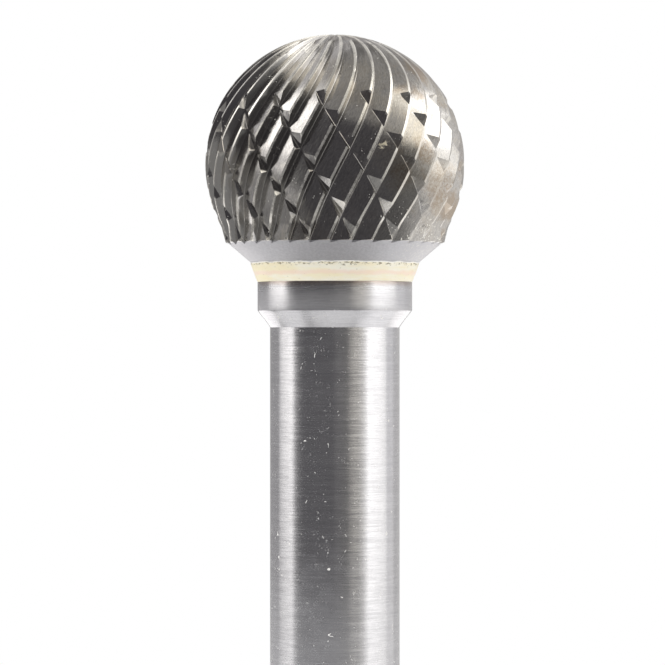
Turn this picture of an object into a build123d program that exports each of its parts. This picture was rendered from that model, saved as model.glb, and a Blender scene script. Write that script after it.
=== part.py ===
"""Ball-shaped carbide burr on a steel shank, double cut, right-hand spiral.

The burr stands on the flat end of its shank: the origin is the centre of that
end and +Z runs up the axis to the pole of the ball.  Millimetres and degrees.
"""
from build123d import *
from math import atan, cos, degrees, radians, tan
import os

# overall
ball_diameter = 12.0
overall_length = 51.0

# carbide blank below the ball's widest line
crest_end_angle = 118.9  # polar angle, from the pole, where the crests leave the sphere
flank_length = 0.74
flank_taper = 14.0
crest_step = 0.12  # how far the crests stand proud of the neck
neck_height = 0.88
neck_end_diameter = 7.84
seat_diameter = 6.8
seat_bevel_height = 0.4

# brazed joint between the carbide and the steel
braze_film = 0.12
braze_bevel_height = 0.4
braze_land_diameter = 6.4

# steel shank
collar_diameter = 7.16
collar_height = 1.33
throat_height = 0.77
throat_sag = 0.02
shank_diameter = 6.0
shank_end_chamfer = 0.4

# teeth: right-hand flutes, a steep rake wall on one side and a long clearance face on the other
flute_pairs = 16  # in each pair one flute reaches the pole and one stops short of it
tooth_twist = 4.87  # degrees for each millimetre of height
tooth_phase = -86.25
rake_tilt = 20.0
flute_depth_share = 0.32  # depth over the spacing of the crests
crest_land_share = 0.08  # flat left on each crest, over the same spacing
pole_start_angle = 5.0
short_start_angle = 18.0
merge_start_angle = 14.0  # between these two angles the long flutes widen over the short ones
merge_end_angle = 25.0
runout_start_angle = 112.0
runout_loss = 0.42  # share of the depth lost where the flutes leave the ball

# chip breakers: left-hand notches across the teeth
breaker_count = 16
breaker_twist = -6.2
breaker_phase = -81.0
breaker_depth = 0.26
breaker_steep_tilt = 28.0
breaker_gentle_tilt = 61.0
breaker_start_angle = 57.0
breaker_full_angle = 62.0
breaker_runout_loss = 0.25

# cutters stand this far above the surface and run this far past its foot
overcut = 0.15
overrun = 0.35

ball_radius = ball_diameter / 2
ball_centre = overall_length - ball_radius
tooth_pitch = 180 / flute_pairs
degree_run = radians(1) * ball_radius  # one degree of polar angle, along the meridian


# Outline of the crests in (radius, height): the sphere, then a straight flank.
with BuildLine() as crest_outline:
    sphere_arc = CenterArc((0, ball_centre), ball_radius, 90, -crest_end_angle)
    PolarLine(sphere_arc @ 1, flank_length, -90 - flank_taper)

outline = crest_outline.wire()
outline_length = outline.length
flank_foot = outline @ 1
neck_top = Vector(flank_foot.X - crest_step, flank_foot.Y - crest_step * tan(radians(flank_taper)))
neck_foot = Vector(neck_end_diameter / 2, neck_top.Y - neck_height)
seat_height = neck_foot.Y - seat_bevel_height
film_foot_height = seat_height - braze_film
collar_top_height = film_foot_height - braze_bevel_height
collar_foot_height = collar_top_height - collar_height
throat_foot_height = collar_foot_height - throat_height


def blend(value, start, end):
    """Smooth step from 0 at start to 1 at end."""
    share = min(max((value - start) / (end - start), 0), 1)
    return share * share * (3 - 2 * share)


def helix_station(run, phase, twist):
    """Plane square to a helix, run millimetres down the surface from the pole.

    Its x points round the ball the way the angle grows and its y points outward.
    Also gives the radius there and the cosine of the helix angle.
    """
    beyond = max(run - outline_length, 0)
    point = outline.position_at(min(run / outline_length, 1))
    slope = outline.tangent_at(min(run / outline_length, 1))
    radius = point.X + slope.X * beyond
    height = point.Y + slope.Y * beyond
    turned = phase + twist * (height - ball_centre)
    radial = Vector(1, 0, 0).rotate(Axis.Z, turned)
    around = Vector(0, 1, 0).rotate(Axis.Z, turned)
    normal = radial * -slope.Y + Vector(0, 0, slope.X)
    lead = radius * radians(twist) * slope.Y
    along = (radial * slope.X + Vector(0, 0, slope.Y) + around * lead).normalized()
    origin = radial * radius + Vector(0, 0, height)
    return Plane(origin, x_dir=normal.cross(along), z_dir=along), radius, cos(atan(lead))


def depth_left(run, loss):
    """Share of a groove's depth that is left as it runs out over the foot of the ball."""
    return 1 - loss * blend(run, runout_start_angle * degree_run, outline_length)


def flute_section(run, width_share, depth_share):
    """Cross-section of one flute: rake wall, root, clearance face and a lid in the open air."""
    plane, radius, helix_cosine = helix_station(run, tooth_phase, tooth_twist)
    crest_spacing = radius * radians(tooth_pitch) * helix_cosine
    width = crest_spacing * (width_share - crest_land_share)
    depth = crest_spacing * width_share * flute_depth_share * depth_share
    drop = width**2 / ball_diameter  # the next crest lies lower, because the ball is round
    rake = tan(radians(rake_tilt))
    rise = (depth - drop) / (width - depth * rake)
    with BuildSketch(plane) as section:
        with BuildLine():
            Polyline(
                (-overcut * rake, overcut),
                (depth * rake, -depth),
                (width + overcut, overcut * rise - drop),
                (width + overcut, overcut + depth / 2),
                close=True,
            )
        make_face()
    return section


def breaker_section(run, depth):
    """Cross-section of one chip breaker: steep below, gentle above."""
    plane = helix_station(run, breaker_phase, breaker_twist)[0]
    reach = depth + overcut
    with BuildSketch(plane) as section:
        with BuildLine():
            Polyline(
                (-reach * tan(radians(breaker_steep_tilt)), overcut),
                (0, -depth),
                (reach * tan(radians(breaker_gentle_tilt)), overcut),
                close=True,
            )
        make_face()
    return section


foot_runs = [outline_length - 0.7, outline_length, outline_length + overrun]
body_runs = [angle * degree_run for angle in (32, 45, 60, 75, 90, 105)]

# Long flute: twice as wide near the pole, where it takes its short neighbour's place.
near_pole_runs = [angle * degree_run for angle in (pole_start_angle, 10, 15, 20, 25)]
with BuildPart() as long_flute:
    for run in near_pole_runs + body_runs + foot_runs:
        spread = 2 - blend(run, merge_start_angle * degree_run, merge_end_angle * degree_run)
        add(flute_section(run, spread, depth_left(run, runout_loss)).sketch)
    loft()

# Short flute: rises out of the tooth where the two crests part.
parting_runs = [angle * degree_run for angle in (short_start_angle, 21, 25)]
with BuildPart() as short_flute:
    for run in parting_runs + body_runs + foot_runs:
        opening = 0.04 + 0.96 * blend(run, short_start_angle * degree_run, merge_end_angle * degree_run)
        add(flute_section(run, 1, opening * depth_left(run, runout_loss)).sketch)
    loft()

# Chip breaker
entry_runs = [angle * degree_run for angle in (breaker_start_angle, 60, 63, 75, 90, 105)]
with BuildPart() as breaker:
    for run in entry_runs + foot_runs:
        bite = blend(run, (breaker_start_angle - 1) * degree_run, breaker_full_angle * degree_run)
        add(breaker_section(run, breaker_depth * bite * depth_left(run, breaker_runout_loss)).sketch)
    loft()

# Carbide head: the turned blank, then every groove.
with BuildPart() as carbide_head:
    with BuildSketch(Plane.XZ):
        with BuildLine():
            add(crest_outline.line)
            Polyline(
                flank_foot,
                neck_top,
                neck_foot,
                (seat_diameter / 2, seat_height),
                (0, seat_height),
                (0, overall_length),
            )
        make_face()
    revolve(axis=Axis.Z)
    with PolarLocations(0, flute_pairs):
        add(long_flute.part, mode=Mode.SUBTRACT)
    with PolarLocations(0, flute_pairs, start_angle=tooth_pitch):
        add(short_flute.part, mode=Mode.SUBTRACT)
    with PolarLocations(0, breaker_count):
        add(breaker.part, mode=Mode.SUBTRACT)

# Braze: a thin film between the faces and the ring that fills the two bevels.
with BuildPart() as braze_joint:
    with BuildSketch(Plane.XZ):
        with BuildLine():
            Polyline(
                (0, seat_height),
                (seat_diameter / 2, seat_height),
                neck_foot,
                (collar_diameter / 2, collar_top_height),
                (braze_land_diameter / 2, film_foot_height),
                (0, film_foot_height),
                close=True,
            )
        make_face()
    revolve(axis=Axis.Z)

# Steel shank: bevelled end under the braze, collar, hollow throat and the gripped length.
with BuildPart() as steel_shank:
    with BuildSketch(Plane.XZ):
        with BuildLine():
            Polyline(
                (0, film_foot_height),
                (braze_land_diameter / 2, film_foot_height),
                (collar_diameter / 2, collar_top_height),
                (collar_diameter / 2, collar_foot_height),
            )
            SagittaArc(
                (collar_diameter / 2, collar_foot_height),
                (shank_diameter / 2, throat_foot_height),
                throat_sag,
            )
            Polyline(
                (shank_diameter / 2, throat_foot_height),
                (shank_diameter / 2, 0),
                (0, 0),
                (0, film_foot_height),
            )
        make_face()
    revolve(axis=Axis.Z)
    shank_end = steel_shank.faces().sort_by(Axis.Z)[0]
    chamfer(shank_end.edges(), shank_end_chamfer)

os.makedirs("parts", exist_ok=True)

carbide_head.part.label = "carbide_head"
carbide_head.part.color = Color(0.25, 0.25, 0.27)
export_step(carbide_head.part, "parts/carbide_head.step")

braze_joint.part.label = "braze_joint"
braze_joint.part.color = Color(0.90, 0.80, 0.55)
export_step(braze_joint.part, "parts/braze_joint.step")

steel_shank.part.label = "steel_shank"
steel_shank.part.color = Color(0.72, 0.73, 0.75)
export_step(steel_shank.part, "parts/steel_shank.step")
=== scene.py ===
import bpy
import math
import random
import numpy as np
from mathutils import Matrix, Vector


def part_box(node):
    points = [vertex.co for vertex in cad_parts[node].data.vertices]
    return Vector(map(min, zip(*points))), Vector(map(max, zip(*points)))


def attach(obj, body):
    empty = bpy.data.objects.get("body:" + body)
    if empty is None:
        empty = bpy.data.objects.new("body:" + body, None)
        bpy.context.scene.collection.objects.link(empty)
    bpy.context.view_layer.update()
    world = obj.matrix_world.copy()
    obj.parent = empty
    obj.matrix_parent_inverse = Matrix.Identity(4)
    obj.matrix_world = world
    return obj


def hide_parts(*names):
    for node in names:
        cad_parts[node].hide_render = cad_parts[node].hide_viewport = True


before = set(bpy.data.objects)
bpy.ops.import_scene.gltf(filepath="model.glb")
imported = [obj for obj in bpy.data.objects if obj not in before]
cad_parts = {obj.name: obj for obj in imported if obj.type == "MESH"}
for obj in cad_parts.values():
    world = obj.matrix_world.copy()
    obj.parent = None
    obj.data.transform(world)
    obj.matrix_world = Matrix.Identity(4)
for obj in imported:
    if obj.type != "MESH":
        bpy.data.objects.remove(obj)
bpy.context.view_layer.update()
mm = 0.001
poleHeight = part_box("carbide_head")[1][2] / mm
print("frame loaded, pole at", round(poleHeight, 2), "mm")


# A node's output that takes Python's own arithmetic signs.
class Wire:
    def __init__(self, finish, socket):
        self.finish, self.socket = finish, socket

    def __add__(self, other):
        return self.finish.maths("ADD", self, other)

    def __radd__(self, other):
        return self.finish.maths("ADD", other, self)

    def __sub__(self, other):
        return self.finish.maths("SUBTRACT", self, other)

    def __rsub__(self, other):
        return self.finish.maths("SUBTRACT", other, self)

    def __mul__(self, other):
        return self.finish.maths("MULTIPLY", self, other)

    def __rmul__(self, other):
        return self.finish.maths("MULTIPLY", other, self)

    def __truediv__(self, other):
        return self.finish.maths("DIVIDE", self, other)

    def __rtruediv__(self, other):
        return self.finish.maths("DIVIDE", other, self)

    def __pow__(self, other):
        return self.finish.maths("POWER", self, other)


# The nodes of one material, or of the world.
class Finish:
    def __init__(self, holder):
        self.holder = holder
        holder.use_nodes = True
        self.tree = holder.node_tree
        self.tree.nodes.clear()

    def make(self, kind, settings=None, sockets=None, output=0):
        # any node: its settings come first, then the values or links of its sockets
        node = self.tree.nodes.new(kind)
        for name, value in (settings or {}).items():
            setattr(node, name, value)
        for name, value in (sockets or {}).items():
            if isinstance(value, Wire):
                self.tree.links.new(value.socket, node.inputs[name])
            else:
                node.inputs[name].default_value = value
        return Wire(self, node.outputs[output]) if len(node.outputs) else node

    def maths(self, operation, *values):
        return self.make("ShaderNodeMath", {"operation": operation}, dict(enumerate(values)))

    def vectors(self, operation, *values, output=0):
        return self.make("ShaderNodeVectorMath", {"operation": operation}, dict(enumerate(values)), output)

    def geometry(self, output):
        return self.make("ShaderNodeNewGeometry", output=output)

    def split(self, vector):
        node = self.make("ShaderNodeSeparateXYZ", None, {0: vector}).socket.node
        return [Wire(self, socket) for socket in node.outputs]

    def join(self, x, y, z):
        return self.make("ShaderNodeCombineXYZ", None, {0: x, 1: y, 2: z})

    def stretch(self, vector, factors):
        return self.vectors("MULTIPLY", vector, factors)

    def cloud(self, vector, scale, detail=3.0, rough=0.55):
        return self.make("ShaderNodeTexNoise", None,
                         {"Vector": vector, "Scale": scale, "Detail": detail, "Roughness": rough})

    def fade(self, value, low, high, start=0.0, end=1.0):
        return self.make("ShaderNodeMapRange", {"interpolation_type": "SMOOTHSTEP"},
                         {"Value": value, "From Min": low, "From Max": high, "To Min": start, "To Max": end})

    def tint(self, amount, first, second):
        colours = [value if isinstance(value, Wire) else (*value, 1) for value in (first, second)]
        return self.make("ShaderNodeMix", {"data_type": "RGBA"}, {0: amount, 6: colours[0], 7: colours[1]}, 2)

    def larger(self, first, second):
        return self.maths("MAXIMUM", first, second)

    def near(self, spot, places, ripple, solid=0.4, gone=1.1):
        # 1 inside any of the places (x, y, z and reach in mm), with a rippled edge
        total = 0.0
        for x, y, z, reach in places:
            gap = self.vectors("DISTANCE", spot, (x * mm, y * mm, z * mm), output=1)
            total = self.larger(total, self.fade(gap / (reach * mm) + ripple, solid, gone, 1.0, 0.0))
        return total

    def bump(self, height, strength, distance, normal=None):
        sockets = {"Height": height, "Strength": strength, "Distance": distance}
        if normal is not None:
            sockets["Normal"] = normal
        return self.make("ShaderNodeBump", None, sockets)

    def surface(self, sockets):
        shader = self.make("ShaderNodeBsdfPrincipled", None, sockets)
        self.make("ShaderNodeOutputMaterial", None, {"Surface": shader})
        return self.holder


def makeMesh(name, points, faces):
    mesh = bpy.data.meshes.new(name)
    mesh.from_pydata([tuple(point) for point in points], [], [tuple(face) for face in faces])
    mesh.update()
    piece = bpy.data.objects.new(name, mesh)
    bpy.context.scene.collection.objects.link(piece)
    return piece


def turnedMesh(name, outline, around=256):
    # a closed turned body; the outline, in mm about the ball's centre, runs from the axis down to the axis
    outline = [(radius * mm, (height + centreHeight) * mm) for radius, height in outline]
    angles = np.arange(around) * 2 * math.pi / around
    points = [(0, 0, outline[0][1])]
    for radius, height in outline[1:-1]:
        points += [(radius * math.cos(a), radius * math.sin(a), height) for a in angles]
    points.append((0, 0, outline[-1][1]))
    last = len(points) - 1
    faces = [(0, 1 + i, 1 + (i + 1) % around) for i in range(around)]
    for ring in range(len(outline) - 3):
        start = 1 + ring * around
        for i in range(around):
            j = (i + 1) % around
            faces.append((start + i, start + around + i, start + around + j, start + j))
    start = 1 + (len(outline) - 3) * around
    faces += [(start + (i + 1) % around, start + i, last) for i in range(around)]
    return makeMesh(name, points, faces)


def smoothBelow(piece, degreesOfTurn):
    piece.data.shade_smooth()
    piece.data.set_sharp_from_angle(angle=math.radians(degreesOfTurn))


def carve(piece, cutter, operation):
    change = piece.modifiers.new("carve", "BOOLEAN")
    change.operation, change.object, change.solver = operation, cutter, "MANIFOLD"
    shown = piece.evaluated_get(bpy.context.evaluated_depsgraph_get())
    carved = bpy.data.meshes.new_from_object(shown)
    piece.modifiers.clear()
    piece.data = carved
    bpy.data.objects.remove(cutter)
    return piece


def blend(value, start, end):
    share = min(max((value - start) / (end - start), 0), 1)
    return share * share * (3 - 2 * share)


def curved(start, corner, end, steps):
    # points on a smooth curve from start to end, drawn towards the corner
    shares = [step / steps for step in range(steps + 1)]
    return [tuple((1 - t) ** 2 * a + 2 * t * (1 - t) * b + t * t * c for a, b, c in zip(start, corner, end))
            for t in shares]


# The toothed ball, in millimetres, and in degrees down from the pole or round the axis.
ball = {
    "radius": 5.9965, "crestEnd": 118.9,  # the crests follow the ball this far, then the straight flank
    "flankTaper": 14.0, "flankLength": 0.74, "crestStep": 0.12,
    "pairs": 16, "twist": 4.87, "phase": -86.25,  # a long and a short tooth to a pair; twist in degrees a mm
    "rake": 20.0, "depth": 0.30, "land": 0.11,  # depth and land are shares of the tooth spacing
    "rootSize": 0.03, "rootShare": 0.45, "rootSteps": 5, "faceSteps": 7,
    "poleStart": 2.5, "mergeStart": 14.0, "mergeEnd": 25.0,  # a long tooth narrows from two spacings to one
    "shortStart": 18.0, "shortLeast": 0.02,  # and the short one opens beside it
    "runoutStart": 112.0, "runoutLoss": 0.20, "overrun": 1.6,
    "rowStep": 1.4, "closeRows": 0.3, "closeShare": 0.7,  # rows stand closer from closeRows above the flank
    "unevenness": 0.035, "seed": 7, "nickChance": 0.035, "nickDepth": (0.02, 0.05), "smoothTurn": 21,
}
centreHeight = poleHeight - ball["radius"]
arcRun = math.radians(ball["crestEnd"]) * ball["radius"]
outlineRun = arcRun + ball["flankLength"]
degreeRun = math.radians(1) * ball["radius"]


def crestPoint(run):
    # radius, height and outward direction of the crest surface, run mm down from the pole
    angle = min(run, arcRun) / ball["radius"]
    radius, height = ball["radius"] * math.sin(angle), ball["radius"] * math.cos(angle)
    if run <= arcRun:
        return radius, height, math.sin(angle), math.cos(angle)
    taper = math.radians(ball["flankTaper"])
    beyond = run - arcRun
    return radius - beyond * math.sin(taper), height - beyond * math.cos(taper), math.cos(taper), -math.sin(taper)


def fluteDepth(x, width, depth):
    # depth below the crest surface, x mm across one flute
    rake = math.tan(math.radians(ball["rake"]))
    drop = width ** 2 / 2 / ball["radius"]
    rise = (depth - drop) / (width - depth * rake)
    wall = x / rake
    face = depth - rise * (x - depth * rake) - x * x / 2 / ball["radius"]
    return max(min(wall, face), 0)


def toothSection(spacing, width, depth, nick):
    # distance across and depth below the crests, from one crest over its wall, root and long face
    tilt = math.radians(ball["rake"])
    rake = math.tan(tilt)
    drop = width ** 2 / 2 / ball["radius"]
    rise = math.atan((depth - drop) / (width - depth * rake))
    corner = (depth * rake, depth)
    size = min(ball["rootSize"] * spacing, depth * ball["rootShare"])
    wallEnd = (corner[0] - size * math.sin(tilt), corner[1] - size * math.cos(tilt))
    faceStart = (corner[0] + size * math.cos(rise), corner[1] - size * math.sin(rise))
    faceEnd = spacing * (1 - ball["land"])
    places = [faceStart[0] + (faceEnd - faceStart[0]) * step / ball["faceSteps"]
              for step in range(1, ball["faceSteps"] + 1)]
    places.append(spacing * (1 - ball["land"] / 2))
    section = [(0, nick), (wallEnd[0] / 2, wallEnd[1] / 2)]
    section += curved(wallEnd, corner, faceStart, ball["rootSteps"])
    return section + [(x, fluteDepth(x, width, depth)) for x in places]


def flutedMesh():
    picker, nicker = random.Random(ball["seed"]), random.Random(ball["seed"] + 2)
    pitch = math.pi / ball["pairs"]
    uneven = [[1 + picker.uniform(-1, 1) * ball["unevenness"] for tooth in range(2)]
              for pair in range(ball["pairs"])]
    runs = []
    run = ball["poleStart"] * degreeRun
    while run < outlineRun + ball["overrun"]:
        runs.append(run)
        run += ball["rowStep"] * degreeRun * (1 if run < arcRun - ball["closeRows"] else ball["closeShare"])
    points, rows = [(0, 0, centreHeight + ball["radius"] * math.cos(math.radians(ball["poleStart"])))], []
    for run in runs:
        radius, height, outX, outZ = crestPoint(run)
        helixCos = math.cos(math.atan(radius * math.radians(ball["twist"]) * outX))
        spacing = radius * pitch * helixCos
        left = 1 - ball["runoutLoss"] * blend(run, ball["runoutStart"] * degreeRun, outlineRun)
        spread = 2 - blend(run, ball["mergeStart"] * degreeRun, ball["mergeEnd"] * degreeRun)
        opening = blend(run, ball["shortStart"] * degreeRun, ball["mergeEnd"] * degreeRun)
        start = math.radians(ball["phase"] + ball["twist"] * height)
        ring = []
        for pair in range(ball["pairs"]):
            longWidth = spacing * (spread - ball["land"])
            longDepth = spacing * spread * ball["depth"] * left * uneven[pair][0]
            for tooth in range(2):
                wide = spread if tooth == 0 else 1
                depth = spacing * wide * ball["depth"] * left * uneven[pair][tooth]
                depth *= 1 if tooth == 0 else max(opening, ball["shortLeast"])
                # here and there a small nick in the crest
                nick = nicker.uniform(*ball["nickDepth"]) * opening if nicker.random() < ball["nickChance"] else 0
                for x, h in toothSection(spacing, spacing * (wide - ball["land"]), depth, nick):
                    if tooth == 1:
                        h = max(h, fluteDepth(x + spacing, longWidth, longDepth))
                    angle = start + (2 * pair + tooth) * pitch + x / (radius * helixCos)
                    out = radius - h * outX
                    ring.append((out * math.cos(angle), out * math.sin(angle), centreHeight + height - h * outZ))
        rows.append(len(points))
        points += ring
    count = len(ring)
    faces = [(0, rows[0] + i, rows[0] + (i + 1) % count) for i in range(count)]
    for first, second in zip(rows, rows[1:]):
        for i in range(count):
            j = (i + 1) % count
            faces.append((first + i, second + i, second + j, first + j))
    points.append((0, 0, points[-1][2]))
    faces += [(rows[-1] + (i + 1) % count, rows[-1] + i, len(points) - 1) for i in range(count)]
    return makeMesh("toothedBall", np.array(points) * mm, faces)


# The chip breakers that cross the flutes, in the ball's units.
breakers = {
    "count": 16, "twist": -6.2, "phase": -81.0, "depth": 0.26,
    "steep": 28.0, "gentle": 61.0,  # how far the two sides lean from the upright
    "start": 57.0, "ahead": 0.5, "biteAhead": 1.0, "full": 62.0,  # the cut begins at start and is deep at full
    "loss": 0.25, "overrun": 0.35, "lid": 0.15,  # lid is how far a cutter stands above the crests
    "rowStep": 1.6, "rootSize": 0.03, "rootSteps": 5, "unevenness": 0.05, "shift": 0.25,
}


def breakerMesh():
    picker = random.Random(ball["seed"] + 1)
    steep, gentle = math.tan(math.radians(breakers["steep"])), math.tan(math.radians(breakers["gentle"]))
    size, lid = breakers["rootSize"], breakers["lid"]
    points, faces = [], []
    for number in range(breakers["count"]):
        uneven = 1 + picker.uniform(-1, 1) * breakers["unevenness"]
        shift = picker.uniform(-1, 1) * breakers["shift"]
        rings = []
        run = (breakers["start"] - breakers["ahead"]) * degreeRun
        while run < outlineRun + breakers["overrun"]:
            radius, height, outX, outZ = crestPoint(run)
            helixTan = radius * math.radians(breakers["twist"]) * -outX
            angle = math.radians(breakers["phase"] + number * 360 / breakers["count"] + shift
                                 + breakers["twist"] * height)
            radial = Vector((math.cos(angle), math.sin(angle), 0))
            around = Vector((-math.sin(angle), math.cos(angle), 0))
            up = Vector((0, 0, 1))
            normal = radial * outX + up * outZ
            along = (radial * outZ - up * outX + around * helixTan).normalized()
            across = normal.cross(along)
            bite = blend(run, (breakers["start"] - breakers["biteAhead"]) * degreeRun, breakers["full"] * degreeRun)
            fade = 1 - breakers["loss"] * blend(run, ball["runoutStart"] * degreeRun, outlineRun)
            depth = breakers["depth"] * uneven * bite * fade
            reach = depth + lid
            section = [(-reach * steep, lid)]
            section += curved((-size * steep, size - depth), (0, -depth), (size * gentle, size - depth),
                              breakers["rootSteps"])
            section.append((reach * gentle, lid))
            origin = radial * radius + up * (centreHeight + height)
            rings.append([origin + across * x + normal * y for x, y in section])
            run += breakers["rowStep"] * degreeRun
        start, sides = len(points), len(rings[0])
        for ring in rings:
            points += ring
        for row in range(len(rings) - 1):
            first = start + row * sides
            for i in range(sides):
                j = (i + 1) % sides
                faces.append((first + i, first + j, first + sides + j, first + sides + i))
        faces.append([start + i for i in reversed(range(sides))])
        faces.append([start + (len(rings) - 1) * sides + i for i in range(sides)])
    return makeMesh("breakerCutters", np.array([tuple(point) for point in points]) * mm, faces)


# The smooth cone under the teeth, and the oversize blank that trims the ball to it.
neck = {"height": 0.88, "footRadius": 3.92, "seatRadius": 3.4, "seatBevel": 0.4, "steps": 12}
blank = {"radius": 8.0, "top": 7.0}
footRadius, footHeight = crestPoint(outlineRun)[:2]
neckTopRadius = footRadius - ball["crestStep"]
neckTopHeight = footHeight - ball["crestStep"] * math.tan(math.radians(ball["flankTaper"]))
neckFootHeight = neckTopHeight - neck["height"]
seatHeight = neckFootHeight - neck["seatBevel"]


def blankMesh():
    outline = [(0, blank["top"]), (blank["radius"], blank["top"]), (blank["radius"], footHeight),
               (footRadius, footHeight), (neckTopRadius, neckTopHeight)]
    for step in range(1, neck["steps"] + 1):
        share = step / neck["steps"]
        outline.append((neckTopRadius + (neck["footRadius"] - neckTopRadius) * share,
                        neckTopHeight + (neckFootHeight - neckTopHeight) * share))
    outline += [(neck["seatRadius"], seatHeight), (0, seatHeight)]
    return turnedMesh("blank", outline)


head = flutedMesh()
print("fluted ball", len(head.data.vertices), "points")
head = carve(head, blankMesh(), "INTERSECT")
print("cut to the neck", len(head.data.vertices), "points")
head = carve(head, breakerMesh(), "DIFFERENCE")
print("chip breakers cut", len(head.data.vertices), "points",
      sum(len(face.vertices) - 2 for face in head.data.polygons), "triangles")
smoothBelow(head, ball["smoothTurn"])
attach(head, "root")
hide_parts("carbide_head")

# The braze ring, filling the bevels between carbide and steel.
brazeRing = {"filmRadius": 3.2, "film": 0.12, "bevel": 0.4, "bulge": 0.015, "steps": 16}
filmFoot = seatHeight - brazeRing["film"]
collarTop = filmFoot - brazeRing["bevel"]

# The steel shank; its collar's edges are broken by a small facet.
shank = {
    "collarRadius": 3.58, "collarHeight": 1.33, "collarSteps": 4, "throatHeight": 0.77, "throatSag": 0.02,
    "throatSteps": 12, "radius": 3.0, "gripSteps": 24, "chamfer": 0.4, "centreRadius": 1.2,
    "edge": 0.03, "topDrop": 0.002, "topCut": 0.3, "lowCut": 0.35, "lowDrop": 0.2, "smoothTurn": 18,
}
collarFoot = collarTop - shank["collarHeight"]
throatFoot = collarFoot - shank["throatHeight"]


def brazeMesh():
    outline = [(0, seatHeight), (neck["seatRadius"], seatHeight), (neck["footRadius"], neckFootHeight)]
    for step in range(1, brazeRing["steps"]):
        share = step / brazeRing["steps"]
        bulge = brazeRing["bulge"] * 4 * share * (1 - share)
        outline.append((neck["footRadius"] + (shank["collarRadius"] - neck["footRadius"]) * share + bulge,
                        neckFootHeight + (collarTop - neckFootHeight) * share))
    outline += [(shank["collarRadius"], collarTop), (brazeRing["filmRadius"], filmFoot), (0, filmFoot)]
    return turnedMesh("brazeRing", outline)


def shankMesh():
    edge, collar, radius = shank["edge"], shank["collarRadius"], shank["radius"]
    outline = [(0, filmFoot), (brazeRing["filmRadius"], filmFoot), (collar - edge, collarTop - shank["topDrop"]),
               (collar - edge * shank["topCut"], collarTop - edge * shank["topCut"]), (collar, collarTop - edge)]
    for step in range(1, shank["collarSteps"] + 1):
        outline.append((collar, collarTop - edge - (shank["collarHeight"] - 2 * edge) * step / shank["collarSteps"]))
    lowDrop = edge * shank["lowDrop"]
    outline.append((collar - edge * shank["lowCut"], collarFoot - lowDrop))
    for step in range(1, shank["throatSteps"]):
        share = step / shank["throatSteps"]
        sag = shank["throatSag"] * 4 * share * (1 - share)
        outline.append((collar + (radius - collar) * share - sag,
                        collarFoot - lowDrop - (shank["throatHeight"] - lowDrop) * share))
    outline.append((radius, throatFoot))
    floorHeight = -centreHeight
    for step in range(1, shank["gripSteps"] + 1):
        outline.append((radius, throatFoot + (floorHeight + shank["chamfer"] - throatFoot) * step / shank["gripSteps"]))
    outline += [(radius - shank["chamfer"], floorHeight), (shank["centreRadius"], floorHeight), (0, floorHeight)]
    return turnedMesh("steelShank", outline)


braze = brazeMesh()
steel = shankMesh()
for piece, node, slot in ((braze, "braze_joint", "braze"), (steel, "steel_shank", "shank_steel")):
    smoothBelow(piece, shank["smoothTurn"])
    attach(piece, "root")
    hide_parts(node)
print("braze and shank turned")


# Finishes: colours are as they look in plain light, except the painted highlights on the carbide's crests and notch
# edges and on the braze's upper lip.
carbideLook = {
    "face": (0.53, 0.515, 0.50), "faceWarm": (0.52, 0.475, 0.41), "cloudy": (0.34, 0.33, 0.32),
    "streaked": (0.74, 0.72, 0.68), "wall": (0.46, 0.45, 0.44), "wornAndHighlight": (0.88, 0.85, 0.78),
    "stain": (0.40, 0.31, 0.22), "poleDarkening": (0.34, 0.30, 0.25), "poleLines": (0.25, 0.24, 0.23),
    "neck": (0.51, 0.505, 0.52), "neckGrain": (0.44, 0.435, 0.45),
    "dust": (0.92, 0.89, 0.80), "smudge": (0.86, 0.76, 0.50),
    "faceRough": 0.15, "neckRough": 0.40, "relief": 0.6, "reliefHeight": 0.0045 * mm,
    "crestWidth": (0.05, 0.085), "crestDepth": (0.02, 0.07),  # fades across and below the crest, in mm
    # x, y, z and reach of each patch of brown stain and each pale smudge, in mm
    "stainPlaces": ((4.1, -4.4, 45.3, 0.8), (4.9, -3.2, 43.6, 1.3), (3.0, -5.1, 44.3, 0.7),
                    (3.7, -4.4, 42.4, 0.7), (-0.5, -1.0, 50.9, 0.5)),
    "smudgePlaces": ((2.05, -5.40, 45.54, 0.15), (2.26, -5.31, 45.62, 0.14)),
}


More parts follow.
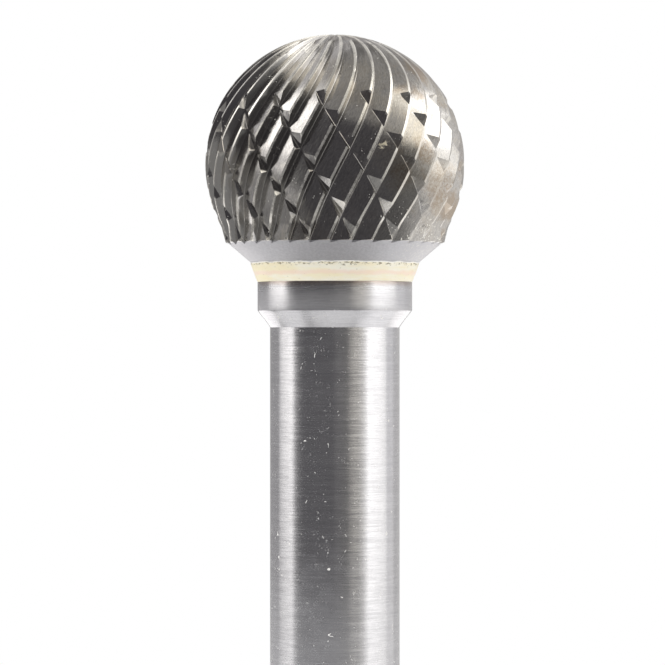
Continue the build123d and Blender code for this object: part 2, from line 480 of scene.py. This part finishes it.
def carbideFinish():
    f = Finish(bpy.data.materials.new("groundCarbide"))
    spot = f.geometry("Position")
    x, _, z = f.split(spot)
    centre = centreHeight * mm
    # untwisted by the lead, so the flutes stand upright and grinding streaks follow them
    turned = f.make("ShaderNodeVectorRotate", {"rotation_type": "Z_AXIS"},
                    {"Vector": spot, "Angle": (centre - z) * (math.radians(ball["twist"]) / mm)})
    turnedX, turnedY, turnedZ = f.split(turned)
    reach = (turnedX * turnedX + turnedY * turnedY) ** 0.5 + 0.2 * mm
    around = f.join(turnedX / reach, turnedY / reach, turnedZ * 40.0)
    streaks = f.cloud(around, 60.0, 4.0, 0.7)
    fine = f.cloud(around, 190.0, 3.0, 0.7)
    mottle = f.cloud(spot, 700.0, 5.0, 0.6)
    blotch = f.cloud(spot, 260.0)
    grit = f.cloud(spot, 9000.0, 3.0, 0.7)
    # steep walls are bare metal
    fromCentre = f.vectors("SUBTRACT", spot, (0, 0, centre))
    facing = f.vectors("DOT_PRODUCT", f.vectors("NORMALIZE", fromCentre), f.geometry("Normal"), output=1)
    wall = f.fade(facing, 0.55, 0.72, 1.0, 0.0)
    # share of a tooth from the middle of one to the next, counted so that the crests come at a half
    wholeTeeth = 64
    tooth = f.maths("FRACT", f.maths("ARCTAN2", turnedY, turnedX) * (ball["pairs"] / math.pi)
                    + (wholeTeeth + 0.5 + ball["land"] / 2 - ball["phase"] * ball["pairs"] / 180))
    across = f.maths("ABSOLUTE", tooth - 0.5) * reach * (math.pi / ball["pairs"] / mm)
    depthBelow = ball["radius"] - f.vectors("LENGTH", fromCentre, output=1) / mm
    neckTop = centreHeight + neckTopHeight
    neckMask = f.fade(z, (neckTop - 0.03) * mm, (neckTop + 0.01) * mm, 1.0, 0.0)
    polar = f.fade(z, centre + 3.8 * mm, centre + 5.2 * mm)
    # worn crests are painted bright, partly wear and partly a painted edge highlight, broader at the pole, fainter on
    # the right and here and there
    fromCrest = across - polar * 0.05 + (mottle - 0.5) * 0.04 + (grit - 0.5) * 0.05
    crestWearAndHighlight = f.fade(fromCrest, *carbideLook["crestWidth"], 1.0, 0.0) * f.fade(
        depthBelow, *carbideLook["crestDepth"], 1.0, 0.0) * (1.0 - neckMask)
    crestWearAndHighlight = crestWearAndHighlight * f.fade(x + (mottle - 0.5) * (3.0 * mm), 2.6 * mm, 4.2 * mm, 1.0, 0.3) * f.fade(
        f.cloud(spot, 1400.0), 0.38, 0.52, 0.55, 1.0)
    # notch edges found by pointiness are painted lighter too: partly wear, partly a painted edge highlight
    notchEdgeWearAndHighlight = f.fade(f.geometry("Pointiness") + (mottle - 0.5) * 0.02, 0.56, 0.64, 0.0, 0.5)
    edgeWearAndHighlight = f.larger(crestWearAndHighlight, notchEdgeWearAndHighlight)
    warm = f.fade(blotch + (streaks - 0.5) * 0.5, 0.46, 0.66)
    colour = f.tint(warm, carbideLook["face"], carbideLook["faceWarm"])
    colour = f.tint(f.fade(mottle * 0.5 + grit * 0.5, 0.40, 0.62, 0.0, 0.6), colour, carbideLook["cloudy"])
    colour = f.tint(f.fade(streaks * 0.4 + fine * 0.6, 0.40, 0.62, 0.0, 0.6), colour, carbideLook["streaked"])
    stain = f.fade(f.cloud(spot, 430.0, 5.0, 0.7), 0.50, 0.66, 0.0, 0.65) * f.fade(x, 0.8 * mm, 4.0 * mm)
    patches = f.near(spot, carbideLook["stainPlaces"], (mottle - 0.5) * 3.0) * f.fade(
        mottle * 0.5 + grit * 0.5, 0.40, 0.58, 0.1, 0.75)
    colour = f.tint(f.larger(stain, patches), colour, carbideLook["stain"])
    # darker and rougher in patches towards the pole
    poleDarkening = f.fade(z, centre + 4.9 * mm, centre + 5.7 * mm) * f.fade(mottle, 0.30, 0.60, 0.25, 0.6)
    colour = f.tint(poleDarkening, colour, carbideLook["poleDarkening"])
    # dark grinding lines that run together at the pole
    lines = f.fade(f.cloud(around, 20.0, 4.0, 0.65), 0.44, 0.56, 0.15, 0.8) * polar
    colour = f.tint(lines, colour, carbideLook["poleLines"])
    colour = f.tint(wall * 0.85, colour, carbideLook["wall"])
    # crests and notch edges take the pale worn colour, which is partly a painted highlight
    colour = f.tint(edgeWearAndHighlight * 0.9, colour, carbideLook["wornAndHighlight"])
    satin = f.tint(f.fade(grit, 0.35, 0.65), carbideLook["neck"], carbideLook["neckGrain"])
    colour = f.tint(neckMask, colour, satin)
    # dust caught on the lower right, and a little elsewhere
    low = f.fade(z, centre - 4.5 * mm, centre - 1.5 * mm, 1.0, 0.0) * f.fade(x, 1.5 * mm, 4.0 * mm)
    dust = f.fade(f.cloud(spot, 9000.0, 2.0) + low * 0.13, 0.67, 0.73) * f.fade(
        f.cloud(spot, 900.0, 2.0) + low * 0.3, 0.52, 0.62)
    dust = dust * (1.0 - neckMask * 0.6)
    colour = f.tint(dust * 0.8, colour, carbideLook["dust"])
    smudge = f.near(spot, carbideLook["smudgePlaces"], (grit - 0.5) * 4.0)
    colour = f.tint(smudge * 0.65, colour, carbideLook["smudge"])
    rough = carbideLook["faceRough"] + (streaks - 0.5) * 0.16 + (mottle - 0.5) * 0.14 + edgeWearAndHighlight * 0.12 + poleDarkening * 0.35
    rough = rough + neckMask * (carbideLook["neckRough"] - rough)
    metallic = 1.0 - neckMask * 0.15 - dust * 0.8 - smudge * 0.6 - crestWearAndHighlight * 0.16
    normal = f.bump(fine * 0.6 + streaks * 0.4 + grit * 0.5, carbideLook["relief"], carbideLook["reliefHeight"])
    return f.surface({"Base Color": colour, "Metallic": metallic, "Roughness": rough, "Normal": normal})


brazeLook = {
    "light": (0.98, 0.94, 0.80), "deep": (0.96, 0.87, 0.62), "flush": (0.97, 0.74, 0.62), "pit": (0.22, 0.18, 0.10),
    "rim": (1.0, 0.98, 0.93), "edge": (0.50, 0.49, 0.49), "metallic": 0.25, "rough": 0.5, "relief": 0.6,
    "reliefHeight": 0.01 * mm,
}


def brazeFinish():
    f = Finish(bpy.data.materials.new("paleBraze"))
    spot = f.geometry("Position")
    x, y, z = f.split(spot)
    top = (centreHeight + neckFootHeight) * mm
    tall = (neckFootHeight - collarTop) * mm
    mottle = f.cloud(spot, 1500.0, 5.0, 0.6)
    drift = f.cloud(f.stretch(spot, (500.0, 500.0, 2600.0)), 1.0, 4.0, 0.6)
    down = (top - z) / tall  # 0 at the ring's upper edge, 1 at its lower one
    colour = f.tint(f.fade(drift, 0.35, 0.65), brazeLook["light"], brazeLook["deep"])
    flushDown = down + (mottle - 0.5) * 0.3
    flush = f.fade(flushDown, 0.40, 0.56) * f.fade(flushDown, 0.60, 0.74, 1.0, 0.0)
    colour = f.tint(flush * 0.55, colour, brazeLook["flush"])
    # a row of small pits just under the upper edge, and a few further down
    holes = f.cloud(f.stretch(spot, (6500.0, 6500.0, 14000.0)), 1.0, 3.0, 0.6)
    rowDown = down + (drift - 0.5) * 0.35
    row = f.fade(rowDown, 0.02, 0.10) * f.fade(rowDown, 0.14, 0.26, 1.0, 0.0)
    pits = f.fade(holes + row * 0.16, 0.66, 0.74)
    colour = f.tint(pits * 0.8, colour, brazeLook["pit"])
    # the upper edge carries a painted highlight line along its lip, and is wavy where it wets the neck
    wave = down + (f.cloud(f.join(x, y, 0.0), 1100.0) - 0.5) * 0.22
    colour = f.tint(f.fade(wave, 0.06, 0.10, 0.9, 0.0), colour, brazeLook["rim"])
    colour = f.tint(f.fade(wave, 0.025, 0.04, 1.0, 0.0), colour, brazeLook["edge"])
    rough = brazeLook["rough"] + (mottle - 0.5) * 0.2 + pits * 0.3
    normal = f.bump(mottle * 0.7 - pits, brazeLook["relief"], brazeLook["reliefHeight"])
    return f.surface({"Base Color": colour, "Metallic": brazeLook["metallic"], "Roughness": rough, "Normal": normal})


steelLook = {
    "bright": (0.68, 0.675, 0.69), "dull": (0.58, 0.575, 0.59), "mottled": (0.74, 0.735, 0.745),
    "dust": (0.90, 0.88, 0.84), "heat": (0.42, 0.33, 0.27), "metallic": 0.95, "rough": 0.25,
    "anisotropic": 0.85, "turn": 0.25, "lean": 0.27, "leanSpread": 0.24, "relief": 0.3, "reliefHeight": 0.004 * mm,
    "heatReach": 0.30, "foot": (21.5, 28.5),  # mm below the collar's top, and mm above the floor
}


def steelFinish():
    f = Finish(bpy.data.materials.new("groundSteel"))
    spot = f.geometry("Position")
    z = f.split(spot)[2]
    rings = f.cloud(f.stretch(spot, (900.0, 900.0, 24000.0)), 1.0, 4.0, 0.65)
    bands = f.cloud(f.stretch(spot, (160.0, 160.0, 5200.0)), 1.0, 4.0, 0.6)
    mottle = f.cloud(spot, 900.0, 5.0, 0.65)
    grit = f.cloud(f.stretch(spot, (5200.0, 5200.0, 9000.0)), 1.0, 3.0, 0.7)
    colour = f.tint(f.fade(rings * 0.5 + bands * 0.3 + grit * 0.2, 0.40, 0.60), steelLook["dull"], steelLook["bright"])
    colour = f.tint(f.fade(mottle, 0.50, 0.70, 0.0, 0.4), colour, steelLook["mottled"])
    # dust: short curved hairs and small specks
    nearLine = f.maths("ABSOLUTE", f.cloud(spot, 1100.0, 2.0, 0.5) - 0.5)
    hairs = f.fade(nearLine, 0.003, 0.009, 1.0, 0.0) * f.fade(f.cloud(spot, 3600.0, 1.0), 0.64, 0.69)
    specks = f.fade(f.cloud(spot, 11000.0, 1.0), 0.77, 0.81)
    dust = f.larger(hairs, specks)
    colour = f.tint(dust, colour, steelLook["dust"])
    haze = f.fade(f.cloud(spot, 12000.0, 2.0), 0.60, 0.70) * f.fade(f.cloud(spot, 1300.0, 2.0), 0.56, 0.70)
    colour = f.tint(haze * 0.5, colour, steelLook["dust"])
    # heat from brazing has browned the top of the collar, and the collet has dulled the foot
    collarLowest, collarHighest = centreHeight + collarFoot, centreHeight + collarTop
    heat = f.fade(z + (mottle - 0.5) * (0.3 * mm), (collarHighest - steelLook["heatReach"]) * mm, collarHighest * mm,
                  0.0, 0.7)
    colour = f.tint(heat, colour, steelLook["heat"])
    collarLow = f.fade(z, (collarLowest + 0.2) * mm, (collarHighest - 0.1) * mm, 1.0, 0.0)
    collarLow = collarLow * f.fade(z, collarLowest * mm, (collarLowest + 0.02) * mm)
    footLow, footHigh = steelLook["foot"]
    foot = f.fade(z + (mottle - 0.5) * (5.0 * mm), footLow * mm, footHigh * mm, 1.0, 0.0)
    rough = steelLook["rough"] + (rings - 0.5) * 0.12 + (bands - 0.5) * 0.05
    rough = rough + dust * 0.3 + collarLow * 0.12 + haze * 0.15
    metallic = steelLook["metallic"] - dust * 0.8 - haze * 0.3 - foot * 0.21 - collarLow * 0.12
    # the grinding lay leans each grain up or down on the upright walls
    flat = f.geometry("Normal")
    slope = f.maths("ABSOLUTE", f.split(flat)[2])
    lean = (steelLook["lean"] + (rings - 0.5) * steelLook["leanSpread"]) * f.fade(slope, 0.05, 0.3, 1.0, 0.0)
    leaning = f.vectors("NORMALIZE", f.vectors("ADD", flat, f.join(0.0, 0.0, lean)))
    normal = f.bump(grit, steelLook["relief"], steelLook["reliefHeight"], leaning)
    return f.surface({"Base Color": colour, "Metallic": metallic, "Roughness": rough, "Normal": normal,
                      "Anisotropic": steelLook["anisotropic"], "Anisotropic Rotation": steelLook["turn"]})


head.data.materials.clear()
for piece, finish in ((head, carbideFinish()), (braze, brazeFinish()), (steel, steelFinish())):
    piece.data.materials.append(finish)
print("finishes made")

# Studio: cards and light boxes all round the part, world, floor, lamp and camera.
studio = {
    "distance": 0.5, "centre": 0.045, "cardStep": 4, "world": 0.9,
    "floorRadius": 0.15, "floorSides": 96, "floorColour": (0.9, 0.9, 0.9), "floorRough": 0.9,
    "lamp": (-0.25, -0.2, 0.4), "lampAim": (0, 0, 0.03), "lampEnergy": 1.2, "lampSize": 0.3,
    "camera": (-0.00011, -0.13, 0.03722), "lens": 151.85, "sensor": 36.0, "near": 0.01, "far": 5.0,
    # azimuths from the camera side, right positive, then elevations, strength and colour
    "cards": {
        "frontCard": (-70, 0, -36, 50, 0.084, (0.97, 0.93, 1.0)),
        "middleCard": (12, 28, -36, 40, 0.105, (1.0, 0.97, 0.98)),
        "middleDimCard": (0, 12, -36, 40, 0.10, (0.99, 0.95, 1.0)),
        "frontRightCard": (28, 46, -36, 32, 0.18, (1.0, 0.985, 0.97)),
        "leftBoxEdge": (-84, -78, -36, 54, 0.55, (1.0, 0.98, 0.98)),
        "leftFrontEdge": (-78, -70, -36, 54, 0.16, (1.0, 0.98, 0.98)),
        "leftBox": (-120, -84, 20, 50, 2.2, (1.0, 0.98, 0.96)),
        "leftLowBox": (-120, -84, 9, 20, 1.0, (1.0, 0.98, 0.97)),
        "leftDimCard": (-120, -84, -8, 9, 0.36, (1.0, 0.98, 0.98)),
        "leftBoxLid": (-120, -84, 50, 56, 0.9, (1.0, 0.98, 0.97)),
        "rightBox": (62, 107, 26, 62, 2.5, (1.0, 0.99, 0.98)),
        "rightBoxEdge": (107, 128, 26, 62, 0.85, (1.0, 0.99, 0.98)),
        "rightFootEdge": (107, 128, 9, 26, 0.85, (0.99, 0.98, 1.0)),
        "rightBoxFoot": (62, 107, 9, 26, 1.5, (1.0, 0.99, 0.97)),
        "rightLowBox": (62, 128, -10, 9, 0.92, (1.0, 0.98, 0.96)),
        "rightDimEdge": (46, 54, -10, 32, 0.48, (1.0, 0.985, 0.96)),
        "rightDimCard": (54, 62, -10, 32, 0.85, (1.0, 0.985, 0.96)),
        "creamBoxEdge": (28, 38, 32, 74, 0.85, (1.0, 0.95, 0.85)),
        "creamBox": (38, 62, 32, 74, 1.6, (1.0, 0.95, 0.85)),
        "brow": (-70, 0, 50, 74, 0.30, (1.0, 0.97, 0.94)),
        "browLeft": (-84, -70, 54, 74, 0.30, (1.0, 0.97, 0.94)),
        "browRight": (0, 28, 40, 74, 0.45, (1.0, 0.97, 0.92)),
        "topCard": (-180, 180, 74, 90, 0.36, (1.0, 0.98, 0.96)),
        "highLeftCard": (-180, -84, 56, 74, 0.36, (1.0, 0.98, 0.96)),
        "highRightCard": (62, 180, 62, 74, 0.48, (1.0, 0.98, 0.96)),
        "backLeftCard": (-180, -120, 20, 56, 0.65, (1.0, 0.98, 0.99)),
        "backLeftLowCard": (-180, -120, -8, 20, 0.36, (1.0, 0.98, 0.99)),
        "backRightCard": (128, 180, 10, 62, 0.68, (0.99, 0.98, 1.0)),
        "backRightLowCard": (128, 180, -10, 10, 0.6, (1.0, 0.98, 0.97)),
        "lowLeftCard": (-128, -84, -36, -8, 0.26, (1.0, 0.98, 0.98)),
        "lowBackLeftCard": (-180, -128, -36, -8, 1.5, (1.0, 0.98, 0.98)),
        "lowFrontRightCard": (46, 60, -36, -10, 0.6, (1.0, 0.98, 0.96)),
        "lowBackRightCard": (128, 180, -36, -10, 1.5, (1.0, 0.98, 0.97)),
        "lowRightCard": (60, 128, -36, -10, 0.92, (1.0, 0.98, 0.96)),
        "nearTableCard": (-72, 56, -62, -36, 0.34, (1.0, 0.99, 0.98)),
        "nearTableLeft": (-180, -72, -62, -36, 1.1, (1.0, 0.99, 0.99)),
        "nearTableRight": (56, 180, -62, -36, 1.3, (1.0, 0.99, 0.99)),
        "tableCard": (-90, 90, -90, -62, 1.15, (1.0, 0.99, 0.99)),
        "tableBackLeft": (-180, -90, -90, -62, 0.62, (1.0, 0.99, 0.99)),
        "tableBackRight": (90, 180, -90, -62, 0.62, (1.0, 0.99, 0.99)),
    },
}


def studioCard(name, low, high, bottom, top, strength, colour):
    distance = studio["distance"]
    steps = max(int((high - low) / studio["cardStep"]), 2)
    rises = max(int((top - bottom) / studio["cardStep"]), 2)
    points = []
    for rise in range(rises + 1):
        e = math.radians(bottom + (top - bottom) * rise / rises)
        for step in range(steps + 1):
            a = math.radians(low + (high - low) * step / steps)
            points.append((distance * math.cos(e) * math.sin(a), -distance * math.cos(e) * math.cos(a),
                           studio["centre"] + distance * math.sin(e)))
    across = steps + 1
    faces = [(r * across + i, r * across + i + 1, (r + 1) * across + i + 1, (r + 1) * across + i)
             for r in range(rises) for i in range(steps)]
    card = makeMesh(name, points, faces)
    f = Finish(bpy.data.materials.new(name + "Paint"))
    light = f.make("ShaderNodeEmission", None, {"Color": (*colour, 1), "Strength": strength})
    f.make("ShaderNodeOutputMaterial", None, {"Surface": light})
    card.data.materials.append(f.holder)
    card.visible_camera = card.visible_diffuse = card.visible_shadow = False


def paintWorld():
    # white to the camera, to reflections and through glass, a plain soft light to everything else
    f = Finish(bpy.data.worlds.new("studioWorld"))
    white = (1, 1, 1, 1)
    sky = f.make("ShaderNodeBackground", None, {"Color": white, "Strength": studio["world"]})
    backdrop = f.make("ShaderNodeBackground", None, {"Color": white, "Strength": 1.0})
    cameraRay, glossyRay, glassRay = [f.make("ShaderNodeLightPath", output=name) for name in (
        "Is Camera Ray", "Is Glossy Ray", "Is Transmission Ray")]
    seen = f.larger(f.larger(cameraRay, glossyRay), glassRay)
    mixed = f.make("ShaderNodeMixShader", None, {0: seen, 1: sky, 2: backdrop})
    f.make("ShaderNodeOutputWorld", None, {"Surface": mixed})
    return f.holder


for name, sizes in studio["cards"].items():
    studioCard(name, *sizes)
bpy.context.scene.world = paintWorld()

turns = np.arange(studio["floorSides"]) * 2 * math.pi / studio["floorSides"]
rim = [(studio["floorRadius"] * math.cos(a), studio["floorRadius"] * math.sin(a), 0) for a in turns]
floor = makeMesh("floor", rim, [range(len(rim))])
f = Finish(bpy.data.materials.new("whiteFloor"))
floor.data.materials.append(f.surface({"Base Color": (*studio["floorColour"], 1), "Roughness": studio["floorRough"]}))
floor.visible_glossy = False

lamp = bpy.data.lights.new("keyLamp", "AREA")
lamp.energy, lamp.size = studio["lampEnergy"], studio["lampSize"]
key = bpy.data.objects.new("keyLamp", lamp)
key.location = studio["lamp"]
key.rotation_euler = (Vector(studio["lampAim"]) - key.location).to_track_quat("-Z", "Y").to_euler()
key.visible_glossy = False
bpy.context.scene.collection.objects.link(key)

eye = bpy.data.cameras.new("camera")
eye.lens, eye.sensor_width = studio["lens"], studio["sensor"]
eye.clip_start, eye.clip_end = studio["near"], studio["far"]
camera = bpy.data.objects.new("camera", eye)
camera.location = studio["camera"]
camera.rotation_euler = (math.pi / 2, 0, 0)
bpy.context.scene.collection.objects.link(camera)
bpy.context.scene.camera = camera
bpy.context.scene.view_settings.view_transform = "Standard"

print("studio set")
